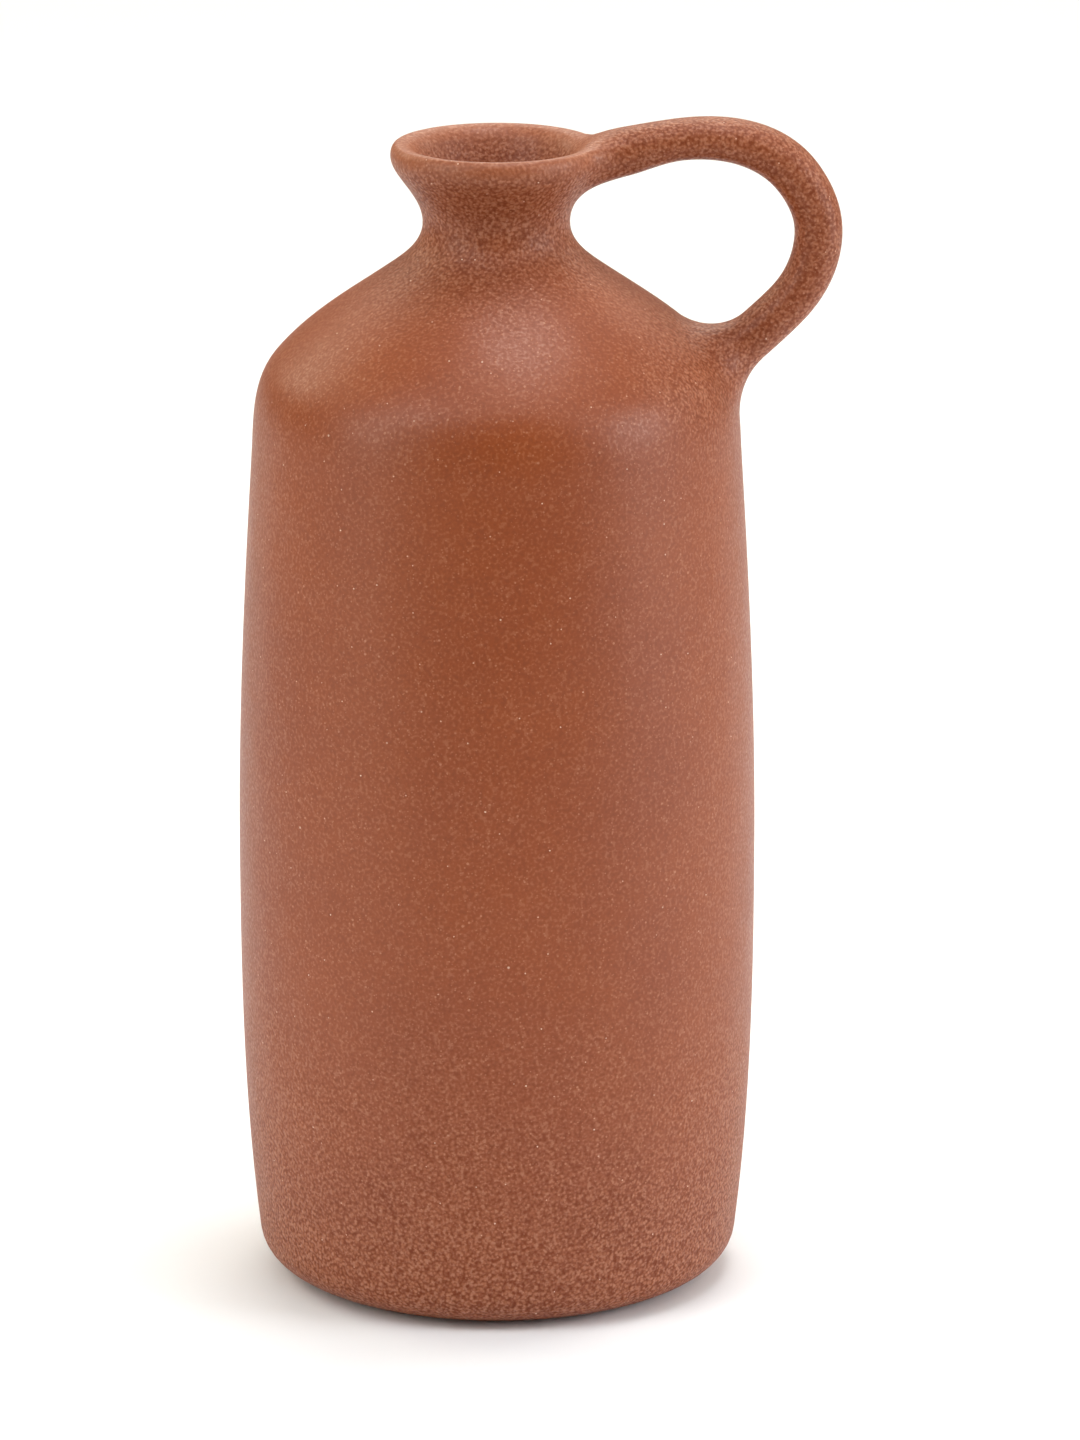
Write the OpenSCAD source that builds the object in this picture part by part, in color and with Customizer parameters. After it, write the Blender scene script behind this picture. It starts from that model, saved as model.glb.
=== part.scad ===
// Stoneware jug: a thrown body with a rounded heel, coned shoulders, a waisted neck and a flared
// lip, and a pulled loop handle that is luted to the lip and to the shoulder with soft clay.
// The axis of the body is Z, the jug stands on Z = 0, and the handle lies in the XZ plane, on +X.

/* [Body] */
// Height of the lip above the table
rim_h = 293; // [285:1:300]
// Radius of the flat face that the jug stands on
foot_r = 44; // [40:0.5:50]
// Radius where the rounded heel runs into the wall
heel_r = 61; // [58:0.5:63]
// Height where the rounded heel runs into the wall
heel_h = 10.5; // [8:0.5:14]
// Widest radius of the belly
belly_r = 65.5; // [64:0.5:68]
// Height of the widest place
belly_h = 113; // [95:1:130]
// Radius of the wall just under the shoulder
wall_r = 61.6; // [60.5:0.1:63]
// Height from the lip down to where the wall starts to turn in
wall_drop = 79; // [75:1:85]
// Radius in the middle of the shoulder's turn
shoulder_r = 56.1; // [55:0.1:57]
// Height from the lip down to the middle of the shoulder's turn
shoulder_drop = 54.7; // [53:0.1:56]

/* [Neck and lip] */
// Radius at the root of the neck
neck_root_r = 28.8; // [27:0.1:30]
// Height from the lip down to the root of the neck
neck_root_drop = 32.9; // [32:0.1:34]
// Smallest outer radius of the neck
waist_r = 18.4; // [17.5:0.1:20]
// Height from the lip down to the neck's smallest radius
waist_drop = 19.7; // [19:0.1:21]
// Outer radius of the lip
lip_r = 26.4; // [25.5:0.1:28]
// How far the lip's crest lies inside its outer edge
crest_inset = 2; // [1.5:0.1:2.5]
// Thickness of the lip from its outer edge to the mouth
lip_t = 6.9; // [6:0.1:7.5]

/* [Clay] */
// Thickness of the wall
wall_t = 5; // [4:0.1:6]
// Thickness of the clay at the neck's waist
throat_t = 4.5; // [3.5:0.1:5.5]
// Thickness of the floor
floor_t = 7; // [6:0.5:10]

/* [Handle] */
// Half thickness of the handle at its thinnest, on top
thin_half = 5.1; // [4.8:0.1:6]
// Half thickness of the handle round its bend
bend_half = 6; // [5.5:0.1:6.5]
// Half width of the handle across its loop
strap_half = 7.4; // [6.5:0.1:8.5]
// Distance from the body's axis to the middle of the handle at its farthest
loop_reach = 80.4; // [78:0.2:83]

/* [Joints] */
// Reach of the upper joint's clay over the lip, at its sides
lip_fillet = 6.5; // [5:0.5:7]
// How much farther the upper joint reaches on its lower side
lip_fillet_lean = 1; // [0:0.5:2]
// Reach of the upper joint's clay along the handle
lip_fillet_run = 9; // [6:0.5:11]
// Reach of the lower joint's clay over the shoulder and the handle, at its sides
shoulder_fillet = 10.5; // [8:0.5:11]
// How much farther the lower joint reaches on its upper side
shoulder_fillet_lean = 2; // [0:0.5:4]

/* [Hidden] */
clay = [0.62, 0.33, 0.22];
joint_clay = [0.70, 0.40, 0.28];
curve_steps = 9;
round_sides = 32;
section_power = 2.3;
cap_rings = 3;
fillet_steps = 8;
seat_steps = 3;

// ---- Curves. A station is [x, y, heading in degrees].

// Length of a curve's pull as a share of its chord: a circular arc's, for a turn in degrees
function arc_share(turn) = turn < 0.1 ? 1 / 3 : 2 / 3 * tan(turn / 4) / sin(turn / 2);

// Point at share t of a curve that leaves start along out and reaches end along in
function pulled(start, out, end, in, turn, t) =
    let (pull = norm(end - start) * arc_share(turn))
    pow(1 - t, 3) * start + 3 * pow(1 - t, 2) * t * (start + pull * out)
        + 3 * (1 - t) * t * t * (end - pull * in) + pow(t, 3) * end;

function way(heading) = [cos(heading), sin(heading)];

function bend(a, b, t) =
    pulled([a.x, a.y], way(a.z), [b.x, b.y], way(b.z), abs(b.z - a.z), t);

// Every point of a chain of stations
function chain(stations, steps) = [
    for (i = [0:len(stations) - 2], k = [0:steps - 1]) bend(stations[i], stations[i + 1], k / steps),
    [stations[len(stations) - 1].x, stations[len(stations) - 1].y]
];

// Station on the wall's other face, a thickness in from this one, travelled the other way
function inside(station, t) = [
    station.x - t * sin(station.z), station.y + t * cos(station.z), station.z + 180
];

// ---- The body's section: from the foot up the outside, over the lip and down the inside.

heel = [heel_r, heel_h, 83];
belly = [belly_r, belly_h, 90];
wall = [wall_r, rim_h - wall_drop, 93.6];
shoulder = [shoulder_r, rim_h - shoulder_drop, 129.5];
neck_root = [neck_root_r, rim_h - neck_root_drop, 145];
waist = [waist_r, rim_h - waist_drop, 88];
flare = [lip_r - 2.4, rim_h - 8.4, 54];
lip = [lip_r, rim_h - 3, 90];
crest = [lip_r - crest_inset, rim_h, 180];
mouth = [lip_r - lip_t, rim_h - 3.2, 245];

outer_line = chain([[foot_r, 0, 0], heel, belly, wall, shoulder, neck_root, waist, flare, lip, crest],
    curve_steps);
inner_line = chain([crest, mouth, inside(waist, throat_t), inside(neck_root, wall_t),
    inside(shoulder, wall_t), inside(wall, wall_t), inside(belly, wall_t), inside(heel, wall_t + 1),
    [foot_r - 6, floor_t, 180]], curve_steps);

module jug_body() {
    color(clay) rotate_extrude($fn = 180)
        polygon(concat([[0, 0]], outer_line, [for (i = [1:len(inner_line) - 1]) inner_line[i]],
            [[0, floor_t]]));
}

// ---- Places on the body's skin, by the distance over the lip's crest and round the axis.

skin = concat(outer_line, [for (i = [1:2 * curve_steps]) inner_line[i]]);
crest_index = len(outer_line) - 1;
shoulder_index = 4 * curve_steps;

// Length of the skin from its start to each of its points
function run_to(points, i) = i == 0 ? 0 : run_to(points, i - 1) + norm(points[i] - points[i - 1]);
skin_run = [for (i = [0:len(skin) - 1]) run_to(skin, i) - run_to(skin, crest_index)];
radius_table = [for (i = [0:len(skin) - 1]) [skin_run[i], skin[i].x]];
height_table = [for (i = [0:len(skin) - 1]) [skin_run[i], skin[i].y]];

// Point of the skin: over is positive inside the mouth and negative outside, turn is in degrees
function on_skin(over, turn) =
    let (r = lookup(over, radius_table))
    [r * cos(turn), r * sin(turn), lookup(over, height_table)];

// Rounded oval of unit half width; angle 0 is the handle's outer side
function oval(a) = [
    sign(cos(a)) * pow(abs(cos(a)), 2 / section_power),
    sign(sin(a)) * pow(abs(sin(a)), 2 / section_power)
];

// A seat is the place where an end of the handle meets the skin:
// [over at its middle, side of the handle's outer face, half height, half width, radius there]
upper_seat = [-6, 1, 6.2, strap_half + 0.4, lip_r - 0.6];
lower_seat = [skin_run[shoulder_index] - 1.8, -1, 6.2, strap_half + 0.6, shoulder_r + 0.9];

// Point of a seat's outline, grown by a reach and then scaled
function seat_point(seat, a, reach, scale) =
    let (o = oval(a))
    on_skin(seat[0] + seat[1] * (seat[2] + reach) * o.x * scale,
        (seat[3] + reach) * o.y * scale / seat[4] * 180 / PI);

// ---- The handle. A station is [x, z, heading, half thickness].

loop = [
    [26.8, rim_h - 3.4, 10, 6.2],
    [45.5, rim_h + 0.8, 7.2, thin_half],
    [loop_reach - 5.1, rim_h - 8.9, -53.5, bend_half],
    [loop_reach, rim_h - 22.5, -90, bend_half],
    [loop_reach - 7.5, rim_h - 40.8, -133, bend_half - 0.3],
    [shoulder_r + 0.7, rim_h - 56.1, -135, 5.8],
];
loop_end = len(loop) - 1;
seat_blend = 0.45;

// Share of the seat's own outline at a place u stations along the loop
function seat_share(u) = u >= seat_blend ? 0 : pow(1 - u / seat_blend, 2);

// Ring point of the plain swept oval
function swept(u, a) =
    let (i = min(floor(u), loop_end - 1), t = u - i, p = loop[i], q = loop[i + 1])
    let (c = bend(p, q, t), e = 0.001, ahead = bend(p, q, t + e) - bend(p, q, t - e))
    let (n = [-ahead.y, ahead.x] / norm(ahead), o = oval(a), ease = t * t * (3 - 2 * t))
    let (half = p[3] * (1 - ease) + q[3] * ease)
    [c.x + n.x * half * o.x, strap_half * o.y, c.y + n.y * half * o.x];

// Ring point of the handle, which runs into its two seats
function handle_point(u, a) =
    let (top = seat_share(u), low = seat_share(loop_end - u))
    (1 - top - low) * swept(u, a)
        + top * (top > 0 ? seat_point(upper_seat, a, 0, 1) : [0, 0, 0])
        + low * (low > 0 ? seat_point(lower_seat, a, 0, 1) : [0, 0, 0]);

// Triangles between ring k and ring m of a stack of rings
function band(k, m, sides, flip) = [
    for (j = [0:sides - 1])
        let (a = k * sides + j, b = k * sides + (j + 1) % sides)
        let (c = m * sides + j, d = m * sides + (j + 1) % sides)
        each flip ? [[a, b, d], [a, d, c]] : [[a, d, b], [a, c, d]]
];

function ring_angle(j) = 360 * j / round_sides;

module handle() {
    places = [for (i = [0:loop_end * curve_steps]) i / curve_steps];
    cap_scales = [for (k = [1:cap_rings]) k / (cap_rings + 0.5)];
    rings = concat(
        [for (s = cap_scales) [for (j = [0:round_sides - 1])
            seat_point(upper_seat, ring_angle(j), 0, s)]],
        [for (u = places) [for (j = [0:round_sides - 1]) handle_point(u, ring_angle(j))]],
        [for (k = [cap_rings - 1:-1:0]) [for (j = [0:round_sides - 1])
            seat_point(lower_seat, ring_angle(j), 0, cap_scales[k])]]);
    last = len(rings) - 1;
    points = [for (r = rings) each r];
    faces = concat(
        [for (k = [0:last - 1]) each band(k, k + 1, round_sides, false)],
        [for (j = [1:round_sides - 2]) [0, j, j + 1]],
        [for (j = [1:round_sides - 2]) [last * round_sides, last * round_sides + j + 1,
            last * round_sides + j]]);
    color(clay) polyhedron(points, faces);
}

// ---- The joints: rings of soft clay, smoothed from the skin onto the handle.

// Unit vector
function unit(v) = v / norm(v);

// One section of a joint's ring: over the fillet, back under it along the skin and the handle.
// u0 is the handle's place at the seat, and the clay runs u_reach stations along the handle.
function joint_section(seat, a, reach, u0, u_reach) =
    let (e = 0.02, u1 = u0 + u_reach)
    let (high = handle_point(u1, a), low = seat_point(seat, a, reach, 1))
    let (out = unit(handle_point(u1 - e * sign(u_reach), a) - high))
    let (in = unit(low - seat_point(seat, a, reach - 0.1, 1)))
    let (turn = acos(out * in))
    concat(
        [for (k = [0:fillet_steps]) pulled(high, out, low, in, turn, k / fillet_steps)],
        [for (k = [1:seat_steps]) seat_point(seat, a, reach * (1 - k / seat_steps), 1)],
        [for (k = [1:seat_steps]) handle_point(u0 + u_reach * k / (seat_steps + 1), a)]);

module joint(sections, flip) {
    sides = len(sections[0]);
    count = len(sections);
    color(joint_clay) polyhedron([for (s = sections) each s],
        [for (k = [0:count - 1]) each band(k, (k + 1) % count, sides, flip)]);
}

module upper_joint() {
    first_run = norm([loop[1].x - loop[0].x, loop[1].y - loop[0].y]);
    joint([for (j = [0:round_sides - 1])
        let (reach = lip_fillet - lip_fillet_lean * cos(ring_angle(j)))
        joint_section(upper_seat, ring_angle(j), reach, 0, lip_fillet_run / first_run)], false);
}

module lower_joint() {
    a = loop[loop_end - 1];
    b = loop[loop_end];
    last_run = norm([b.x - a.x, b.y - a.y]);
    joint([for (j = [0:round_sides - 1])
        let (reach = shoulder_fillet - shoulder_fillet_lean * cos(ring_angle(j)))
        joint_section(lower_seat, ring_angle(j), reach, loop_end, -reach / last_run)], true);
}

jug_body();
handle();
upper_joint();
lower_joint();
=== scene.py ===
"""Stoneware pitcher: a thrown body, a pulled loop handle and the two joints of soft clay between them."""
import math

import bpy
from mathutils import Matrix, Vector


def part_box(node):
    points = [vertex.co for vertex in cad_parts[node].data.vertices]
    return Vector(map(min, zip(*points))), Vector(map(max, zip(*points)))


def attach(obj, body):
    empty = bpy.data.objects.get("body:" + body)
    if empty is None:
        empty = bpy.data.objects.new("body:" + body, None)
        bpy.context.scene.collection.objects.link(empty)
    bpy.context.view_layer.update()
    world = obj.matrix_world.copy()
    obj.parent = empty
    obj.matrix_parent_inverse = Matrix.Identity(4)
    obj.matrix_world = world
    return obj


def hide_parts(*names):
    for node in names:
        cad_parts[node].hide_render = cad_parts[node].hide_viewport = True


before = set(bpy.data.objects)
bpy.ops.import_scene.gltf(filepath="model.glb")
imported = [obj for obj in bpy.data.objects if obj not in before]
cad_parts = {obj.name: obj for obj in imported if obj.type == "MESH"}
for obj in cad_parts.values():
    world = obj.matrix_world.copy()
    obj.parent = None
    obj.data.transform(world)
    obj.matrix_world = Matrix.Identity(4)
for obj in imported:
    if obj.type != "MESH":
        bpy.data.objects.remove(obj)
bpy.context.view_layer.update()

bl_info = {
    "name": "Stoneware Pitcher",
    "version": (1, 0, 0),
    "blender": (4, 5, 0),
    "location": "3D View > Sidebar > Pitcher",
    "description": "Builds a speckled stoneware pitcher with a loop handle, piece by piece",
    "category": "Object",
}

BODY_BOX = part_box("jug_body")
HANDLE_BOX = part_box("handle")
MM = 0.001


# ---------------------------------------------------------------------------
# Sizes and colours
# ---------------------------------------------------------------------------

def length(name, default, description):
    return bpy.props.FloatProperty(
        name=name, default=default, min=0.0, precision=4, unit="LENGTH", description=description)


def colour(name, default, description):
    return bpy.props.FloatVectorProperty(
        name=name, default=default, min=0.0, max=1.0, size=3, subtype="COLOR",
        description=description)


class PitcherBodySizes(bpy.types.PropertyGroup):
    """Sizes of the thrown body"""

    lip_height: length("Lip height", BODY_BOX[1].z, "Height of the lip's crest")
    belly_radius: length("Belly radius", -BODY_BOX[0].x, "Widest radius of the wall")
    belly_height: length("Belly height", 113 * MM, "Height of the widest place")
    foot_radius: length("Foot radius", 44 * MM, "Radius of the flat face underneath")
    heel_height: length("Heel height", 10.5 * MM, "Height of the rounded heel")
    lip_radius: length("Lip radius", 26.4 * MM, "Outer radius of the lip")
    waist_radius: length("Waist radius", 18.4 * MM, "Smallest outer radius of the neck")
    wall: length("Wall", 5 * MM, "Thickness of the wall")
    throat_wall: length("Throat wall", 4.5 * MM, "Thickness of the clay at the neck's waist")
    floor: length("Floor", 7 * MM, "Thickness of the floor")


class PitcherHandleSizes(bpy.types.PropertyGroup):
    """Sizes of the pulled handle"""

    reach: length("Reach", HANDLE_BOX[1].x - 6 * MM, "From the axis to the loop's far middle")
    thin_half: length("Thin half", 5.1 * MM, "Half thickness on top of the loop")
    bend_half: length("Bend half", 6 * MM, "Half thickness round the bend")
    strap_half: length("Strap half", 7.4 * MM, "Half width across the loop")


class PitcherJointSizes(bpy.types.PropertyGroup):
    """Sizes of the clay smoothed round the handle's two roots"""

    lip_reach: length("Lip reach", 6.5 * MM, "Reach over the lip, at the sides")
    lip_lean: length("Lip lean", 1 * MM, "Extra reach under the handle, at the lip")
    lip_run: length("Lip run", 9 * MM, "Reach along the handle, at the lip")
    shoulder_reach: length("Shoulder reach", 10.5 * MM, "Reach over the shoulder and the handle")
    shoulder_lean: length("Shoulder lean", 2 * MM, "Extra reach on the upper side")


class PitcherClayColours(bpy.types.PropertyGroup):
    """Colours of the fired clay"""

    rust: colour("Rust", (0.260, 0.054, 0.009), "Main tone of the fired clay")
    deep_rust: colour("Deep rust", (0.215, 0.040, 0.007), "Darker tone of its broad patches")
    sand: colour("Sand", (0.560, 0.250, 0.140), "Fine light grog in the clay")
    chalk: colour("Chalk", (0.740, 0.520, 0.380), "The few large pale grains")
    # Dark tone of the grain's hollows, partly the clay's own and partly painted shade
    hollow_tone_and_shade: colour("Pit", (0.100, 0.018, 0.006), "Gaps and pits between the grains")


SETTINGS = {
    "pitcher_body": PitcherBodySizes,
    "pitcher_handle": PitcherHandleSizes,
    "pitcher_joints": PitcherJointSizes,
    "pitcher_clay": PitcherClayColours,
}


# ---------------------------------------------------------------------------
# Writing node trees
# ---------------------------------------------------------------------------

class Field:
    """A number or vector inside a node tree, which Python's own signs add and multiply."""

    def __init__(self, sheet, socket):
        self.sheet = sheet
        self.socket = socket
        self.is_vector = socket.type == "VECTOR"

    def _join(self, operation, first, second):
        if any(isinstance(f, Field) and f.is_vector for f in (first, second)):
            if operation == "MULTIPLY":
                vector, factor = (first, second) if first.is_vector else (second, first)
                if not (isinstance(factor, Field) and factor.is_vector):
                    node = self.sheet.add("ShaderNodeVectorMath", operation="SCALE")
                    self.sheet.feed(node.inputs[0], vector)
                    self.sheet.feed(node.inputs["Scale"], factor)
                    return Field(self.sheet, node.outputs[0])
            return self.sheet.vector_math(operation, first, second)
        return self.sheet.math(operation, first, second)

    def __add__(self, other):
        return self._join("ADD", self, other)

    def __sub__(self, other):
        return self._join("SUBTRACT", self, other)

    def __rsub__(self, other):
        return self._join("SUBTRACT", other, self)

    def __mul__(self, other):
        return self._join("MULTIPLY", self, other)

    def __truediv__(self, other):
        return self._join("DIVIDE", self, other)

    def __pow__(self, other):
        return self._join("POWER", self, other)

    def __rmul__(self, other):
        return self._join("MULTIPLY", self, other)

    def part(self, name):
        node = self.sheet.add("ShaderNodeSeparateXYZ")
        self.sheet.feed(node.inputs[0], self)
        return Field(self.sheet, node.outputs[name])


class NodeSheet:
    """Adds nodes to a tree, laid out in columns, and links them."""

    ROWS = 14

    def __init__(self, tree):
        self.tree = tree
        self.count = 0

    def add(self, kind, **settings):
        node = self.tree.nodes.new(kind)
        node.location = (220 * (self.count // self.ROWS), -190 * (self.count % self.ROWS))
        self.count += 1
        for name, value in settings.items():
            setattr(node, name, value)
        return node

    def feed(self, socket, value):
        if isinstance(value, Field):
            self.tree.links.new(value.socket, socket)
        elif value is not None:
            socket.default_value = value

    def use(self, kind, inputs, output=0, **settings):
        """A node whose inputs, by name or number, get the given values; returns one output"""
        node = self.add(kind, **settings)
        for name, value in inputs.items():
            self.feed(node.inputs[name], value)
        return Field(self, node.outputs[output])

    def math(self, operation, *values):
        return self.use("ShaderNodeMath", dict(enumerate(values)), operation=operation)

    def vector_math(self, operation, *values):
        output = "Value" if operation in {"DOT_PRODUCT", "LENGTH"} else "Vector"
        return self.use(
            "ShaderNodeVectorMath", dict(enumerate(values)), output, operation=operation)

    def vector(self, x, y, z):
        return self.use("ShaderNodeCombineXYZ", {0: x, 1: y, 2: z})

    def clamp(self, value, low=0.0, high=1.0):
        return self.use("ShaderNodeClamp", {0: value, 1: low, 2: high})

    def ease(self, value, low, high, to_low=0.0, to_high=1.0):
        """Smooth step from one value to another while the input runs from low to high"""
        return self.use(
            "ShaderNodeMapRange",
            {"Value": value, "From Min": low, "From Max": high,
             "To Min": to_low, "To Max": to_high},
            interpolation_type="SMOOTHSTEP")


class ShapeTree(NodeSheet):
    """A Geometry Nodes tree with named size inputs, whose group input is its base object's geometry."""

    def __init__(self, name):
        super().__init__(bpy.data.node_groups.new(name, "GeometryNodeTree"))
        self.tree.is_modifier = True
        self.tree.interface.new_socket("Geometry", in_out="INPUT", socket_type="NodeSocketGeometry")
        self.tree.interface.new_socket("Geometry", in_out="OUTPUT", socket_type="NodeSocketGeometry")
        self.entry = self.add("NodeGroupInput")
        self.sizes = {}

    @property
    def base(self):
        return Field(self, self.entry.outputs[0])

    def size(self, name, value):
        """A named input of the tree, with the value that its modifier will get"""
        whole = isinstance(value, int)
        socket = self.tree.interface.new_socket(
            name, in_out="INPUT", socket_type="NodeSocketInt" if whole else "NodeSocketFloat")
        socket.default_value = value
        self.sizes[socket.identifier] = value
        return Field(self, self.entry.outputs[name])

    def finish(self, geometry, material):
        """Realize Instances and Set Material close every tree"""
        solid = self.use("GeometryNodeRealizeInstances", {0: geometry})
        painted = self.use("GeometryNodeSetMaterial", {"Geometry": solid, "Material": material})
        exit_node = self.add("NodeGroupOutput")
        self.tree.links.new(painted.socket, exit_node.inputs[0])

    # -- Places along the drawn lines, where they are the base -------------

    def at_station(self, value, index):
        vector = value.is_vector
        return self.use(
            "GeometryNodeSampleIndex",
            {"Geometry": self.base, "Value": value, "Index": index},
            data_type="FLOAT_VECTOR" if vector else "FLOAT", domain="POINT")

    def along(self, place, first, last):
        """Point, direction and half thickness at a place counted in stations from station first"""
        index = self.math("MINIMUM", self.math("FLOOR", place), float(last - first - 1))
        t = place - index
        here = index + float(first)
        there = here + 1.0
        position = self.use("GeometryNodeInputPosition", {})
        grips = self.add("GeometryNodeInputCurveHandlePositions")
        radius = self.use("GeometryNodeInputRadius", {})
        a = self.at_station(position, here)
        b = self.at_station(Field(self, grips.outputs["Right"]), here)
        c = self.at_station(Field(self, grips.outputs["Left"]), there)
        d = self.at_station(position, there)
        s = 1.0 - t
        point = a * (s * s * s) + b * (3.0 * s * s * t) + c * (3.0 * s * t * t) + d * (t * t * t)
        slope = (b - a) * (s * s) + (c - b) * (2.0 * s * t) + (d - c) * (t * t)
        eased = t * t * (3.0 - 2.0 * t)
        half = self.at_station(radius, here) * (1.0 - eased) + self.at_station(radius, there) * eased
        return point, self.vector_math("NORMALIZE", slope), half

    def run_to(self, station):
        """Length of the first line from its start to one of its stations"""
        node = self.add("GeometryNodeSplineParameter")
        return self.at_station(Field(self, node.outputs["Length"]), station)

    def grid(self, rows, columns):
        """A sheet of rows by columns corners, with each corner's row and column"""
        node = self.add("GeometryNodeMeshGrid")
        self.feed(node.inputs["Vertices X"], rows)
        self.feed(node.inputs["Vertices Y"], columns)
        index = self.use("GeometryNodeInputIndex", {})
        row = self.math("FLOOR", (index + 0.5) / columns)
        return Field(self, node.outputs["Mesh"]), row, index - row * columns

    def shape(self, sheet, position):
        """The sheet moved into shape and closed, with only its folds sharp"""
        moved = self.use("GeometryNodeSetPosition", {"Geometry": sheet, "Position": position})
        closed = self.use("GeometryNodeMergeByDistance", {"Geometry": moved, "Distance": 1e-6})
        faces = self.use("GeometryNodeSetShadeSmooth", {"Geometry": closed}, domain="FACE")
        fold = self.math(
            "LESS_THAN", self.use("GeometryNodeInputMeshEdgeAngle", {}), math.radians(50))
        return self.use(
            "GeometryNodeSetShadeSmooth", {"Geometry": faces, "Shade Smooth": fold}, domain="EDGE")


def made_by(tree, base, name):
    """The plain mesh that a tree makes from a base object, as a new object at the origin"""
    modifier = base.modifiers.new(name, "NODES")
    modifier.node_group = tree.tree
    for identifier, value in tree.sizes.items():
        modifier[identifier] = value
    evaluated = base.evaluated_get(bpy.context.evaluated_depsgraph_get())
    mesh = bpy.data.meshes.new_from_object(evaluated)
    base.modifiers.remove(modifier)
    if not mesh.polygons:
        raise RuntimeError(f"{name}: the tree made nothing")
    mesh.name = name
    piece = bpy.data.objects.new(name, mesh)
    bpy.context.scene.collection.objects.link(piece)
    face_outwards(mesh)
    return piece


def face_outwards(mesh):
    """Turns a closed mesh right side out"""
    mesh.calc_loop_triangles()
    corners = [v.co for v in mesh.vertices]
    volume = sum(
        corners[t.vertices[0]].dot(corners[t.vertices[1]].cross(corners[t.vertices[2]]))
        for t in mesh.loop_triangles)
    if volume < 0:
        mesh.flip_normals()


# ---------------------------------------------------------------------------
# The drawn lines: the body's section and the handle's middle line
# ---------------------------------------------------------------------------

def arc_share(turn):
    """Length of a curve's grip as a share of its chord: a circular arc's, for a turn in degrees"""
    if turn < 0.1:
        return 1 / 3
    turn = math.radians(turn)
    return 2 / 3 * math.tan(turn / 4) / math.sin(turn / 2)


def inside(station, wall):
    """The station on the wall's other face, travelled the other way"""
    x, z, heading = station
    turn = math.radians(heading)
    return (x - wall * math.sin(turn), z + wall * math.cos(turn), heading + 180)


def body_stations(sizes):
    """Radius, height and heading from the middle of the foot to the middle of the floor inside"""
    top = sizes.lip_height
    lip = sizes.lip_radius
    heel = (sizes.belly_radius - 4.5 * MM, sizes.heel_height, 83)
    belly = (sizes.belly_radius, sizes.belly_height, 90)
    wall = (sizes.belly_radius - 3.9 * MM, top - 79 * MM, 93.6)
    shoulder = (sizes.belly_radius - 9.4 * MM, top - 54.7 * MM, 129.5)
    neck_root = (28.8 * MM, top - 32.9 * MM, 145)
    waist = (sizes.waist_radius, top - 19.7 * MM, 88)
    return [
        (0, 0, 0), (sizes.foot_radius, 0, 0),
        heel, belly, wall, shoulder, neck_root, waist,
        (lip - 2.4 * MM, top - 8.4 * MM, 54),
        (lip, top - 3 * MM, 90),
        (lip - 2 * MM, top, 180),
        (lip - 6.9 * MM, top - 3.2 * MM, 245),
        inside(waist, sizes.throat_wall), inside(neck_root, sizes.wall),
        inside(shoulder, sizes.wall), inside(wall, sizes.wall), inside(belly, sizes.wall),
        inside(heel, sizes.wall + 1 * MM),
        (sizes.foot_radius - 6 * MM, sizes.floor, 180), (0, sizes.floor, 180),
    ]


SHOULDER_STATION = 5
CREST_STATION = 10
BODY_STATIONS = 20
HANDLE_STATIONS = 6


def handle_stations(sizes, body):
    """Distance out, height, heading and half thickness from the lip round to the shoulder"""
    top = body.lip_height
    shoulder_out = body.belly_radius - 8.7 * MM
    return [
        (body.lip_radius + 0.4 * MM, top - 3.4 * MM, 10, 6.2 * MM),
        (45.5 * MM, top + 0.8 * MM, 7.2, sizes.thin_half),
        (sizes.reach - 5.1 * MM, top - 8.9 * MM, -53.5, sizes.bend_half),
        (sizes.reach, top - 22.5 * MM, -90, sizes.bend_half),
        (sizes.reach - 7.5 * MM, top - 40.8 * MM, -133, sizes.bend_half - 0.3 * MM),
        (shoulder_out, top - 56.1 * MM, -135, 5.8 * MM),
    ]


def draw(curve, stations):
    """Adds one smooth line through stations of distance out, height, heading and half thickness"""
    line = curve.splines.new("BEZIER")
    line.bezier_points.add(len(stations) - 1)
    for point, station in zip(line.bezier_points, stations):
        point.handle_left_type = point.handle_right_type = "FREE"
        point.co = (station[0], 0, station[1])
        point.radius = station[3] if len(station) > 3 else 1.0
        point.handle_left = point.handle_right = point.co
    for k in range(len(stations) - 1):
        a, b = line.bezier_points[k], line.bezier_points[k + 1]
        grip = (b.co - a.co).length * arc_share(abs(stations[k + 1][2] - stations[k][2]))
        leave, arrive = math.radians(stations[k][2]), math.radians(stations[k + 1][2])
        a.handle_right = a.co + grip * Vector((math.cos(leave), 0, math.sin(leave)))
        b.handle_left = b.co - grip * Vector((math.cos(arrive), 0, math.sin(arrive)))


def drawn_lines():
    """A curve object with the body's section first and the handle's middle line second"""
    scene = bpy.context.scene
    curve = bpy.data.curves.new("drawn_lines", "CURVE")
    curve.dimensions = "3D"
    curve.resolution_u = 24
    draw(curve, body_stations(scene.pitcher_body))
    draw(curve, handle_stations(scene.pitcher_handle, scene.pitcher_body))
    lines = bpy.data.objects.new("drawn_lines", curve)
    scene.collection.objects.link(lines)
    return lines


def drop(thing):
    """Removes a helper object and its data"""
    data = thing.data
    bpy.data.objects.remove(thing)
    if isinstance(data, bpy.types.Curve):
        bpy.data.curves.remove(data)


# ---------------------------------------------------------------------------
# The body
# ---------------------------------------------------------------------------

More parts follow.
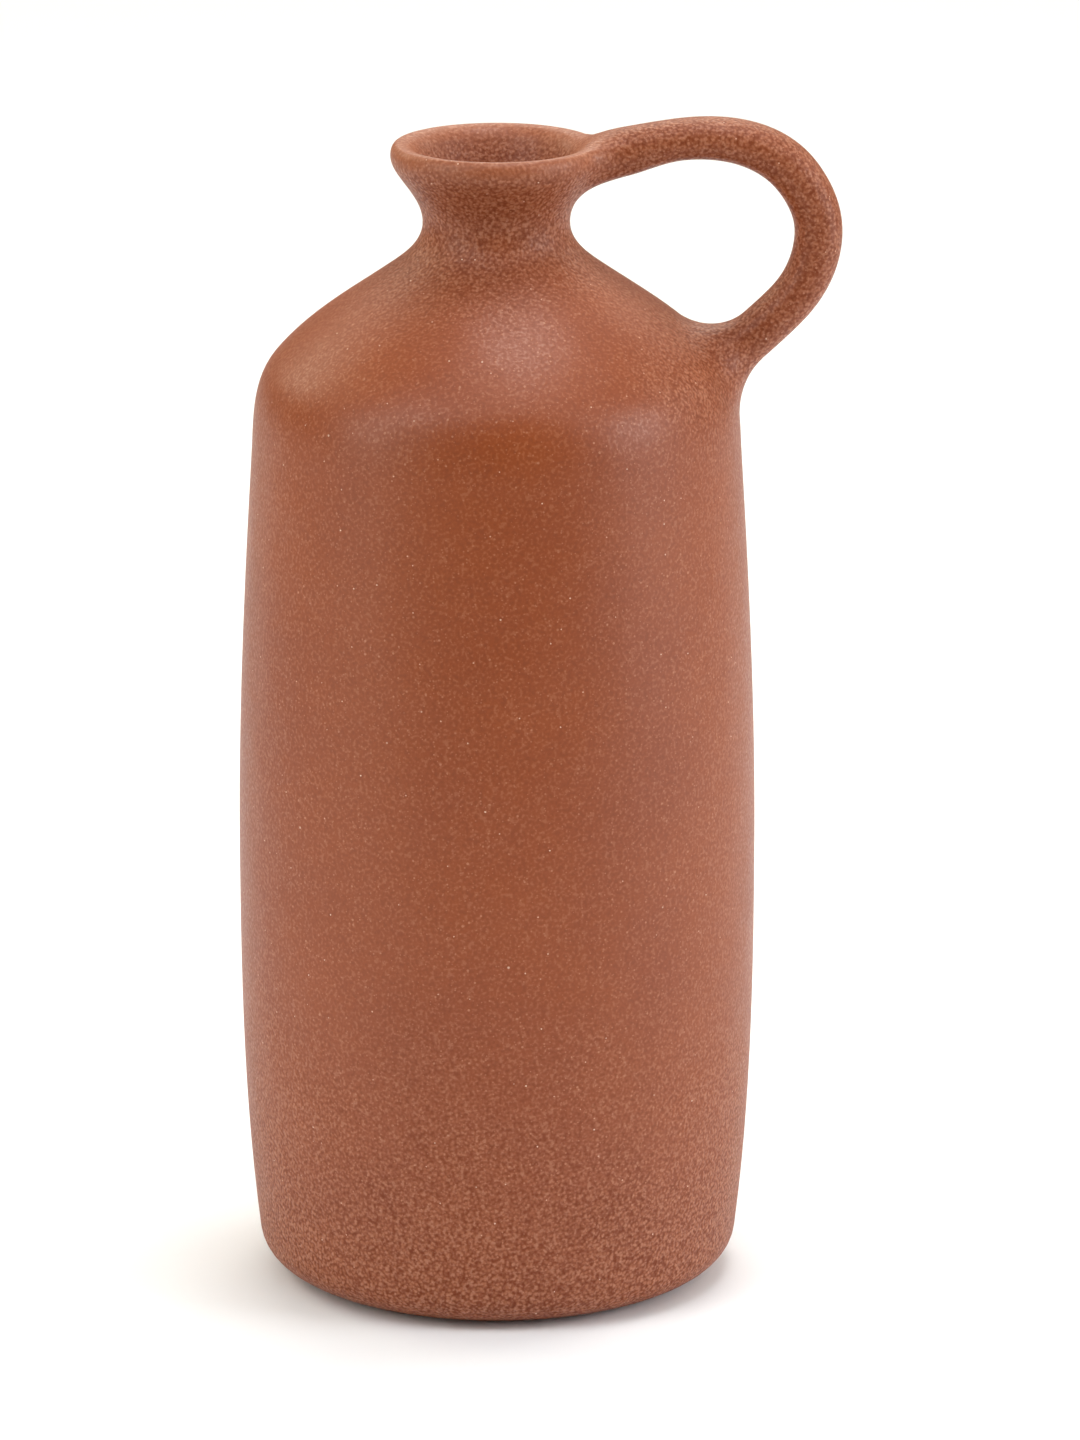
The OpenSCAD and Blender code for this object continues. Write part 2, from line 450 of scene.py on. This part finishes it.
def body_tree(material):
    """Turns the section round the axis, as a wheel does"""
    tree = ShapeTree("thrown_body")
    steps = tree.size("Steps per stretch", 13)
    sides = tree.size("Sides round", 224)
    sheet, row, column = tree.grid(steps * float(BODY_STATIONS - 1) + 1.0, sides + 1.0)
    point, _, _ = tree.along(row / steps, 0, BODY_STATIONS - 1)
    turn = column / sides * math.tau
    radius = point.part("X")
    place = tree.vector(
        radius * tree.math("COSINE", turn), radius * tree.math("SINE", turn), point.part("Z"))
    tree.finish(tree.shape(sheet, place), material)
    return tree


# ---------------------------------------------------------------------------
# The handle and the joints
# ---------------------------------------------------------------------------

class HandleTree(ShapeTree):
    """Places on the body's skin and on the handle, which the handle and both joints share."""

    OVAL_POWER = 2.3
    SEAT_BLEND = 0.45
    LOOP_END = HANDLE_STATIONS - 1

    def __init__(self, name):
        super().__init__(name)
        scene = bpy.context.scene
        body, handle = scene.pitcher_body, scene.pitcher_handle
        self.strap_half = self.size("Strap half width", handle.strap_half)
        self.seat_half = self.size("Seat half height", 6.2 * MM)
        crest = self.run_to(CREST_STATION)
        shoulder = self.run_to(SHOULDER_STATION)
        self.upper_seat = {
            "middle": crest - self.size("Upper seat below crest", 6 * MM),
            "outer_side": 1.0,
            "half_width": self.size("Upper seat half width", handle.strap_half + 0.4 * MM),
            "radius": self.size("Upper seat radius", body.lip_radius - 0.6 * MM)}
        self.lower_seat = {
            "middle": shoulder - self.size("Lower seat below shoulder", 1.8 * MM),
            "outer_side": -1.0,
            "half_width": self.size("Lower seat half width", handle.strap_half + 0.6 * MM),
            "radius": self.size("Lower seat radius", body.belly_radius - 8.5 * MM)}

    def oval(self, angle):
        """Rounded oval of unit half width; angle 0 is the handle's outer side"""
        def side(wave):
            value = self.math(wave, angle)
            return self.math("SIGN", value) * self.math("ABSOLUTE", value) ** (2 / self.OVAL_POWER)
        return side("COSINE"), side("SINE")

    def seat_point(self, seat, angle, reach=0.0, scale=1.0):
        """Point of a seat's outline on the skin, grown by a reach and then scaled"""
        tall, wide = self.oval(angle)
        run = seat["middle"] + tall * (self.seat_half + reach) * seat["outer_side"] * scale
        turn = wide * (seat["half_width"] + reach) * scale / seat["radius"]
        node = self.add("GeometryNodeSampleCurve", mode="LENGTH", data_type="FLOAT")
        self.feed(node.inputs["Curves"], self.base)
        self.feed(node.inputs["Length"], run)
        self.feed(node.inputs["Curve Index"], 0)
        skin = Field(self, node.outputs["Position"])
        radius = skin.part("X")
        return self.vector(
            radius * self.math("COSINE", turn), radius * self.math("SINE", turn), skin.part("Z"))

    def handle_point(self, place, angle, upper_scale=1.0, lower_scale=1.0):
        """Point of the handle's skin at a place along the loop, running into its two seats"""
        middle, ahead, half = self.along(place, BODY_STATIONS, BODY_STATIONS + self.LOOP_END)
        tall, wide = self.oval(angle)
        out = self.vector(0.0 - ahead.part("Z"), 0.0, ahead.part("X"))
        swept = middle + out * (tall * half) + self.vector(0.0, wide * self.strap_half, 0.0)
        upper = (1.0 - self.clamp(place / self.SEAT_BLEND)) ** 2.0
        lower = (1.0 - self.clamp((float(self.LOOP_END) - place) / self.SEAT_BLEND)) ** 2.0
        return (swept * (1.0 - upper - lower)
                + self.seat_point(self.upper_seat, angle, 0.0, upper_scale) * upper
                + self.seat_point(self.lower_seat, angle, 0.0, lower_scale) * lower)


def handle_tree(material):
    """Sweeps the strap's oval along the loop and closes it on its two seats"""
    tree = HandleTree("pulled_handle")
    steps = tree.size("Steps per stretch", 26)
    sides = tree.size("Sides round", 72)
    cap = tree.size("Rings on each seat", 6)
    last = steps * float(tree.LOOP_END) + cap * 2.0
    sheet, row, column = tree.grid(last + 1.0, sides + 1.0)
    place = tree.clamp((row - cap) / steps, 0.0, float(tree.LOOP_END))
    position = tree.handle_point(
        place, column / sides * math.tau, tree.clamp(row / cap), tree.clamp((last - row) / cap))
    tree.finish(tree.shape(sheet, position), material)
    return tree


def joint_tree(name, material, upper, reach, lean, run):
    """A ring of clay: over the fillet from the handle to the skin, then back underneath it"""
    tree = HandleTree(name)
    sides = tree.size("Sides round", 112)
    fillet = tree.size("Steps over the fillet", 22)
    under = tree.size("Steps underneath", 6)
    reach = tree.size("Reach", reach)
    lean = tree.size("Lean", lean)
    seat = tree.upper_seat if upper else tree.lower_seat
    start = 0.0 if upper else float(tree.LOOP_END)
    way = 1.0 if upper else -1.0

    sheet, row, column = tree.grid(sides + 1.0, fillet + under * 2.0 + 1.0)
    angle = row / sides * math.tau
    reach = reach - lean * tree.math("COSINE", angle)
    if run:
        run = tree.size("Run in stations", run)
    else:
        run = reach / tree.size("Last stretch", stretch_length(HANDLE_STATIONS - 2))
    nudge = 0.02
    skin_nudge = 0.1 * MM
    end = run * way + start
    high = tree.handle_point(end, angle)
    out = tree.vector_math("NORMALIZE", tree.handle_point(end - nudge * way, angle) - high)
    low = tree.seat_point(seat, angle, reach)
    onto = tree.vector_math("NORMALIZE", low - tree.seat_point(seat, angle, reach - skin_nudge))
    turn = tree.math("MAXIMUM", tree.math("ARCCOSINE", tree.vector_math("DOT_PRODUCT", out, onto)), 0.01)
    share = tree.math("TANGENT", turn / 4.0) / tree.math("SINE", turn / 2.0) * (2 / 3)
    grip = tree.vector_math("LENGTH", low - high) * share
    t = tree.clamp(column / fillet)
    s = 1.0 - t
    over = (high * (s * s * s) + (high + out * grip) * (3.0 * s * s * t)
            + (low - onto * grip) * (3.0 * s * t * t) + low * (t * t * t))
    skin_share = tree.clamp((column - fillet) / under)
    back = tree.seat_point(seat, angle, reach * (1.0 - skin_share))
    strap_share = tree.clamp((column - fillet - under) / under)
    along = tree.handle_point(run * strap_share * way + start, angle)
    is_back = tree.math("GREATER_THAN", column, fillet + 0.5)
    is_along = tree.math("GREATER_THAN", column, fillet + under + 0.5)
    position = (over * (1.0 - is_back) + back * (is_back - is_along) + along * is_along)
    tree.finish(tree.shape(sheet, position), material)
    return tree


def stretch_length(first):
    """Length of the chord between one of the handle's stations and the next"""
    scene = bpy.context.scene
    stations = handle_stations(scene.pitcher_handle, scene.pitcher_body)
    a, b = stations[first], stations[first + 1]
    return math.hypot(b[0] - a[0], b[1] - a[1])


# ---------------------------------------------------------------------------
# The clay
# ---------------------------------------------------------------------------

# Where the clay's zones begin and end, in millimetres above the foot or out along the handle
SAND_HEIGHTS = (-22.0, 102.0)
NECK_HEIGHTS = (248.0, 270.0)
ROOT_HEIGHTS = (218.0, 242.0)
ROOT_REACH = (26.0, 54.0)
# The lip's crest: its grain is smoothed there as by wear, and its colour is lightened as a painted
# highlight
CREST_WEAR_AND_HIGHLIGHT_HEIGHTS = (286.0, 292.0)
CREST_WEAR_AND_HIGHLIGHT_REACH = (22.0, 32.0)


class ClaySheet(NodeSheet):
    """Shader nodes for patterns on the object's own coordinates, in millimetres."""

    def __init__(self, material):
        super().__init__(material.node_tree)
        material.node_tree.nodes.clear()
        place = self.use("ShaderNodeTexCoord", {}, "Object")
        self.place = self.use("ShaderNodeMapping", {"Vector": place, "Scale": (1000, 1000, 1000)})
        self.height = self.place.part("Z")
        self.out = self.place.part("X")

    def noise(self, wave, detail=2.0, rough=0.5):
        """Noise from 0 to 1 whose patches are wave millimetres across"""
        return self.use(
            "ShaderNodeTexNoise",
            {"Vector": self.place, "Scale": 1 / wave, "Detail": detail, "Roughness": rough}, "Fac")

    def cells(self, wave, shift):
        """Cells of wave millimetres: the distance from the cell's middle and two random numbers"""
        source = self.use(
            "ShaderNodeMapping", {"Vector": self.place, "Location": (shift, shift, shift)})
        node = self.add("ShaderNodeTexVoronoi")
        self.feed(node.inputs["Vector"], source)
        node.inputs["Scale"].default_value = 1 / wave
        split = self.add("ShaderNodeSeparateColor")
        self.feed(split.inputs[0], Field(self, node.outputs["Color"]))
        return (Field(self, node.outputs["Distance"]), Field(self, split.outputs["Red"]),
                Field(self, split.outputs["Green"]))

    def grains(self, wave, share, size, shift):
        """Round grains of up to size millimetres radius in a share of the cells: 1 on a grain"""
        away, chance, growth = self.cells(wave, shift)
        edge = (growth * 0.5 + 0.5) * (size / wave)
        rise = (edge - away) / (edge * 0.45)
        return self.clamp(rise) * self.math("LESS_THAN", chance, share)

    def blend(self, amount, first, second):
        return self.use("ShaderNodeMix", {0: amount, 6: first, 7: second}, 2, data_type="RGBA")

    def finish(self, skin, ior):
        """Closes the material with one shader, whose named inputs get the given values"""
        shader = self.add("ShaderNodeBsdfPrincipled")
        for name, value in skin.items():
            self.feed(shader.inputs[name], value)
        shader.inputs["IOR"].default_value = ior
        output = self.add("ShaderNodeOutputMaterial")
        self.tree.links.new(shader.outputs[0], output.inputs[0])


def paint(values):
    return (*values, 1.0)


def fired_stoneware():
    """Bare fired clay: close on the body, grainy on neck and handle, sandy near the foot, with painted
    highlight and shade in its grain and a painted highlight on the lip's crest
    """
    found = bpy.data.materials.get("fired_stoneware")
    if found:
        return found
    clay = bpy.context.scene.pitcher_clay
    material = bpy.data.materials.new("fired_stoneware")
    material.use_nodes = True
    sheet = ClaySheet(material)

    patches = sheet.ease(sheet.noise(42, 1.0), 0.35, 0.68)
    mottle = sheet.ease(sheet.noise(5.5, 3.0, 0.6), 0.36, 0.66)
    drift = sheet.noise(24, 2.0) - 0.5
    sandy = sheet.ease(sheet.height + drift * 50.0, *SAND_HEIGHTS, 1.0, 0.0)
    neck = sheet.ease(sheet.height + drift * 16.0, *NECK_HEIGHTS)
    root = (sheet.ease(sheet.out + drift * 20.0, *ROOT_REACH)
            * sheet.ease(sheet.height + drift * 20.0, *ROOT_HEIGHTS))
    # Mask of the lip's crest, which smooths its grain as wear does and lightens its colour as a painted
    # highlight
    worn_and_highlit_crest = (sheet.ease(sheet.height, *CREST_WEAR_AND_HIGHLIGHT_HEIGHTS)
            * sheet.ease(sheet.out, *CREST_WEAR_AND_HIGHLIGHT_REACH, 1.0, 0.0))
    crown = sheet.math("MAXIMUM", neck, root) * (0.58 - worn_and_highlit_crest * 0.3)
    coarse = sheet.math("MAXIMUM", sandy * 0.9, crown)
    clusters = sheet.ease(sheet.noise(13, 2.0), 0.36, 0.66, 0.35, 1.0)

    # The grain's colour follows its relief: sand on the high places and on the bead tops, the dark tone
    # in the low places and between the beads. This is partly the clay's own grain and partly painted
    # highlight on the tops and painted shade in the hollows.
    grit = sheet.noise(0.84, 1.0, 0.4)
    pale = sheet.ease(grit, 0.49, 0.73)
    dark = sheet.ease(grit, 0.28, 0.49, 1.0, 0.0)
    away, _, _ = sheet.cells(1.0, 17.2)
    beads = sheet.ease(away, 0.12, 0.70, 1.0, 0.0)
    dots = sheet.grains(1.05, 0.55, 0.31, 23.9)
    specks = sheet.grains(1.7, 0.38, 0.42, 3.7) * clusters
    chalk = sheet.grains(7.5, 0.28, 0.40, 5.1)

    base = sheet.blend(patches * 0.45, paint(clay.rust), paint(clay.deep_rust))
    for amount, tone in (
            (mottle * 0.20, clay.deep_rust),
            # Partly painted shade: the dark tone in the grain's low places and in the gaps between the
            # beads
            (dark * (coarse * 0.30 + 0.18), clay.hollow_tone_and_shade),
            ((1.0 - beads) * coarse * 0.42, clay.hollow_tone_and_shade),
            # Partly painted highlight: sand on the grain's high places and on the bead tops
            (pale * (coarse * 0.26 + 0.18), clay.sand),
            (beads * coarse * 0.42, clay.sand),
            (dots * 0.30, clay.sand),
            (specks * 0.52, clay.sand),
            # Painted highlight on the lip's crest
            (worn_and_highlit_crest * 0.14, clay.sand),
            (chalk * 0.6, clay.chalk)):
        base = sheet.blend(amount, base, paint(tone))

    relief = (grit * (coarse * 1.4 + 0.6) + beads * (coarse * 0.9 + 0.1)
              + (dots + specks) * 0.3 + chalk * 0.4)
    rough = sheet.ease(grit, 0.3, 0.7, 0.50, 0.40) + coarse * 0.12
    gloss = sheet.ease(grit, 0.30, 0.56, 0.5 - coarse * 0.3, 0.5)
    wave = sheet.use(
        "ShaderNodeBump", {"Strength": 0.5, "Distance": 0.9 * MM, "Height": sheet.noise(17, 1.0)})
    normal = sheet.use(
        "ShaderNodeBump",
        {"Strength": 0.6, "Distance": 0.16 * MM, "Height": relief, "Normal": wave})

    sheet.finish({"Base Color": base, "Roughness": rough, "Specular IOR Level": gloss,
                  "Normal": normal}, ior=1.46)
    return material


def grain_material():
    """The pale grains that stand a hair proud of the skin"""
    found = bpy.data.materials.get("pale_grog")
    if found:
        return found
    clay = bpy.context.scene.pitcher_clay
    material = bpy.data.materials.new("pale_grog")
    material.use_nodes = True
    sheet = ClaySheet(material)
    grit = sheet.noise(0.35, 2.0)
    sandy = sheet.ease(sheet.noise(4.0, 0.0), 0.35, 0.65)
    base = sheet.blend(sandy * 0.7, paint(clay.chalk), paint(clay.sand))
    base = sheet.blend(sheet.ease(grit, 0.45, 0.75) * 0.4, base, paint(clay.rust))
    normal = sheet.use(
        "ShaderNodeBump", {"Strength": 0.6, "Distance": 0.08 * MM, "Height": grit})
    rough = sheet.ease(grit, 0.3, 0.7, 0.38, 0.62)
    sheet.finish({"Base Color": base, "Roughness": rough, "Normal": normal}, ior=1.52)
    return material


# ---------------------------------------------------------------------------
# The pale grains
# ---------------------------------------------------------------------------

def grain_tree(name, material, count_per_area, limit, seed):
    """Scatters small flattened grains over the outer skin, sunk until they barely stand proud"""
    tree = ShapeTree(name)
    density = tree.size("Grains per square metre", count_per_area)
    limit = tree.size("Largest distance out", limit)
    small = tree.size("Smallest radius", 0.16 * MM)
    large = tree.size("Largest radius", 0.34 * MM)
    proud = tree.size("Stands proud", 0.04 * MM)
    place = tree.use("GeometryNodeInputPosition", {})
    face = tree.use("GeometryNodeInputNormal", {})
    x, y = place.part("X"), place.part("Y")
    outside = tree.math("GREATER_THAN", face.part("X") * x + face.part("Y") * y, 0.0)
    widest = tree.math("MAXIMUM", tree.math("ABSOLUTE", x), tree.math("ABSOLUTE", y))
    within = tree.math("LESS_THAN", widest, limit)
    above = tree.math("GREATER_THAN", place.part("Z"), 4 * MM)
    scatter = tree.add("GeometryNodeDistributePointsOnFaces", distribute_method="RANDOM")
    tree.feed(scatter.inputs["Mesh"], tree.base)
    tree.feed(scatter.inputs["Selection"], outside * within * above)
    tree.feed(scatter.inputs["Density"], density)
    scatter.inputs["Seed"].default_value = seed
    points = Field(tree, scatter.outputs["Points"])
    normal = Field(tree, scatter.outputs["Normal"])
    radius = tree.use(
        "FunctionNodeRandomValue", {2: small, 3: large, "Seed": seed + 1}, 1, data_type="FLOAT")
    flatness = 0.45
    sunk = tree.use(
        "GeometryNodeSetPosition",
        {"Geometry": points, "Offset": normal * (proud - radius * flatness)})
    grain = tree.use("GeometryNodeMeshIcoSphere", {"Radius": 1.0, "Subdivisions": 2})
    stretch = tree.use(
        "FunctionNodeRandomValue", {2: 0.7, 3: 1.3, "Seed": seed + 2}, 1, data_type="FLOAT")
    size = tree.vector(radius * stretch, radius, radius * flatness)
    placed = tree.add("GeometryNodeInstanceOnPoints")
    tree.feed(placed.inputs["Points"], sunk)
    tree.feed(placed.inputs["Instance"], grain)
    tree.feed(placed.inputs["Rotation"], Field(tree, scatter.outputs["Rotation"]))
    tree.feed(placed.inputs["Scale"], size)
    smooth = tree.use(
        "GeometryNodeSetShadeSmooth", {"Geometry": Field(tree, placed.outputs[0])}, domain="FACE")
    tree.finish(smooth, material)
    return tree


def scatter_grains(name, source, count_per_area, limit, seed):
    """A piece of grains on the outer skin of a finished piece"""
    base = bpy.data.objects.new(name + "_base", source.data.copy())
    bpy.context.scene.collection.objects.link(base)
    base.data.materials.clear()
    piece = made_by(grain_tree(name, grain_material(), count_per_area, limit, seed), base, name)
    copy = base.data
    bpy.data.objects.remove(base)
    bpy.data.meshes.remove(copy)
    return piece


# ---------------------------------------------------------------------------
# The stage
# ---------------------------------------------------------------------------

WHITE = (1.0, 1.0, 1.0)
CREAM = (1.0, 0.98, 0.90)
WARM = (1.0, 0.96, 0.84)
AMBER = (1.0, 0.95, 0.74)
PAPER_WHITE = (0.98, 1.0, 1.03)
PITCHER_MIDDLE = (0, 0, 0.16)

# Name, turn, rise, distance, width, height, power, tint
ROUND_BOXES = (
    ("left_box", -61, 16, 1.7, 0.8, 0.9, 10.5, CREAM),
    ("right_box", 73, 16, 1.7, 0.8, 0.9, 18, WHITE),
    ("high_left_box", -50, 45, 1.7, 0.8, 0.8, 9, WHITE),
    ("high_right_box", 50, 45, 1.7, 0.8, 0.8, 4, WHITE),
    ("top_box", 130, 80, 1.7, 0.7, 0.7, 14, WHITE),
    ("left_rim_box", -125, 30, 1.9, 0.9, 0.9, 9.5, AMBER),
    ("right_rim_box", 125, 30, 1.9, 0.9, 0.9, 8, WARM),
)

# Name, place, aim, width, height, power, tint
AIMED_BOXES = (
    ("camera_box", (0, -0.9, 2.0), PITCHER_MIDDLE, 1.2, 0.8, 7, WHITE),
    ("backdrop_box", (0, 3.2, 2.4), (0, 2.4, 0), 3.0, 1.5, 79, WARM),
)


def soft_light(name, place, aim, width, height, power, tint):
    """A rectangular softbox that faces a point"""
    data = bpy.data.lights.new(name, "AREA")
    data.shape = "RECTANGLE"
    data.size = width
    data.size_y = height
    data.energy = power
    data.color = tint
    light = bpy.data.objects.new(name, data)
    light.location = place
    light.rotation_euler = (Vector(aim) - Vector(place)).to_track_quat("-Z", "Y").to_euler()
    bpy.context.scene.collection.objects.link(light)


def round_light(name, turn, rise, away, width, height, power, tint):
    """A softbox round the pitcher, turned to the camera's right and raised by angles in degrees"""
    turn, rise = math.radians(turn), math.radians(rise)
    level = 0.2
    place = (away * math.cos(rise) * math.sin(turn), -away * math.cos(rise) * math.cos(turn),
             level + away * math.sin(rise))
    soft_light(name, place, PITCHER_MIDDLE, width, height, power, tint)


def set_camera():
    """A long lens in front of the pitcher, looking down on it"""
    tilt_down = 15.57
    data = bpy.data.cameras.new("camera")
    data.sensor_width = 36
    data.lens = 215
    data.clip_end = 50
    camera = bpy.data.objects.new("camera", data)
    camera.location = (0.0109, -2.1, 0.729)
    camera.rotation_euler = (math.radians(90 - tilt_down), 0, 0)
    bpy.context.scene.collection.objects.link(camera)
    bpy.context.scene.camera = camera


def set_world():
    """A dim room that is dark in front of the pitcher and warm and brighter behind it"""
    world = bpy.data.worlds.new("studio")
    world.use_nodes = True
    bpy.context.scene.world = world
    world.node_tree.nodes.clear()
    sheet = NodeSheet(world.node_tree)
    direction = sheet.use("ShaderNodeTexCoord", {}, "Generated")
    strength = sheet.ease(direction.part("Y"), -0.1, 0.6, 0.0, 0.15)
    room = sheet.add("ShaderNodeBackground")
    room.inputs["Color"].default_value = paint(WARM)
    sheet.feed(room.inputs["Strength"], strength)
    output = sheet.add("ShaderNodeOutputWorld")
    sheet.tree.links.new(room.outputs[0], output.inputs[0])


def lay_paper():
    """A wide sheet of white paper, darker toward the camera so it puts less sheen on the front"""
    half = 6
    paper = bpy.data.materials.new("white_paper")
    paper.use_nodes = True
    sheet = NodeSheet(paper.node_tree)
    place = sheet.use("ShaderNodeTexCoord", {}, "Object")
    brightness = sheet.ease(place.part("Y"), -0.95, -0.4, 0.18, 0.93)
    tone = sheet.use(
        "ShaderNodeMix", {0: brightness, 6: paint((0.0, 0.0, 0.0)), 7: paint(PAPER_WHITE)}, 2,
        data_type="RGBA")
    skin = paper.node_tree.nodes["Principled BSDF"]
    sheet.feed(skin.inputs["Base Color"], tone)
    skin.inputs["Roughness"].default_value = 0.9
    mesh = bpy.data.meshes.new("floor")
    corners = [(-half, -half, 0), (half, -half, 0), (half, half, 0), (-half, half, 0)]
    mesh.from_pydata(corners, [], [(0, 1, 2, 3)])
    mesh.materials.append(paper)
    floor = bpy.data.objects.new("floor", mesh)
    bpy.context.scene.collection.objects.link(floor)


# ---------------------------------------------------------------------------
# Operators
# ---------------------------------------------------------------------------

def hand_over(piece, node=None):
    """Joins a finished piece to the frame, in place of its node if it has one"""
    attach(piece, "root")
    if node:
        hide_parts(node)


class PITCHER_OT_body(bpy.types.Operator):
    """Throws the body"""

    bl_idname = "pitcher.throw_body"
    bl_label = "Body"

    def execute(self, context):
        lines = drawn_lines()
        piece = made_by(body_tree(fired_stoneware()), lines, "thrown_body")
        drop(lines)
        hand_over(piece, "jug_body")
        return {"FINISHED"}


class PITCHER_OT_handle(bpy.types.Operator):
    """Pulls the loop handle"""

    bl_idname = "pitcher.pull_handle"
    bl_label = "Handle"

    def execute(self, context):
        lines = drawn_lines()
        piece = made_by(handle_tree(fired_stoneware()), lines, "pulled_handle")
        drop(lines)
        hand_over(piece, "handle")
        return {"FINISHED"}


class PITCHER_OT_joints(bpy.types.Operator):
    """Smooths soft clay round both roots of the handle"""

    bl_idname = "pitcher.smooth_joints"
    bl_label = "Joints"

    def execute(self, context):
        sizes = context.scene.pitcher_joints
        clay = fired_stoneware()
        lines = drawn_lines()
        upper = made_by(
            joint_tree("lip_joint", clay, True, sizes.lip_reach, sizes.lip_lean,
                       sizes.lip_run / stretch_length(0)), lines, "lip_joint")
        lower = made_by(
            joint_tree("shoulder_joint", clay, False, sizes.shoulder_reach, sizes.shoulder_lean,
                       None), lines, "shoulder_joint")
        drop(lines)
        hand_over(upper, "upper_joint")
        hand_over(lower, "lower_joint")
        return {"FINISHED"}


class PITCHER_OT_grains(bpy.types.Operator):
    """Sets pale grains of grog into the skin"""

    bl_idname = "pitcher.set_grains"
    bl_label = "Pale grains"

    def execute(self, context):
        body = bpy.data.objects["thrown_body"]
        handle = bpy.data.objects["pulled_handle"]
        limit = context.scene.pitcher_body.belly_radius - 0.2 * MM
        hand_over(scatter_grains("body_grains", body, 4200.0, limit, 7))
        limit = context.scene.pitcher_handle.reach + 4 * MM
        hand_over(scatter_grains("handle_grains", handle, 6000.0, limit, 19))
        return {"FINISHED"}


class PITCHER_OT_stage(bpy.types.Operator):
    """Sets the camera, the floor and the soft light"""

    bl_idname = "pitcher.set_stage"
    bl_label = "Stage"

    def execute(self, context):
        context.scene.view_settings.view_transform = "Standard"
        set_camera()
        set_world()
        lay_paper()
        for box in ROUND_BOXES:
            round_light(*box)
        for box in AIMED_BOXES:
            soft_light(*box)
        return {"FINISHED"}


STEPS = (
    PITCHER_OT_body, PITCHER_OT_handle, PITCHER_OT_joints, PITCHER_OT_grains, PITCHER_OT_stage)


class PITCHER_PT_panel(bpy.types.Panel):
    """Lists the pitcher's pieces and their sizes"""

    bl_idname = "PITCHER_PT_panel"
    bl_label = "Stoneware Pitcher"
    bl_space_type = "VIEW_3D"
    bl_region_type = "UI"
    bl_category = "Pitcher"

    def draw(self, context):
        for step in STEPS:
            self.layout.operator(step.bl_idname)
        for name in SETTINGS:
            box = self.layout.box()
            group = getattr(context.scene, name)
            for key in group.__annotations__:
                box.prop(group, key)


CLASSES = (*SETTINGS.values(), *STEPS, PITCHER_PT_panel)


def register():
    for cls in CLASSES:
        bpy.utils.register_class(cls)
    for name, group in SETTINGS.items():
        setattr(bpy.types.Scene, name, bpy.props.PointerProperty(type=group))


def unregister():
    for name in SETTINGS:
        delattr(bpy.types.Scene, name)
    for cls in reversed(CLASSES):
        bpy.utils.unregister_class(cls)


def main():
    register()
    bpy.ops.pitcher.throw_body()
    bpy.ops.pitcher.pull_handle()
    bpy.ops.pitcher.smooth_joints()
    bpy.ops.pitcher.set_grains()
    bpy.ops.pitcher.set_stage()


if __name__ == "__main__":
    main()
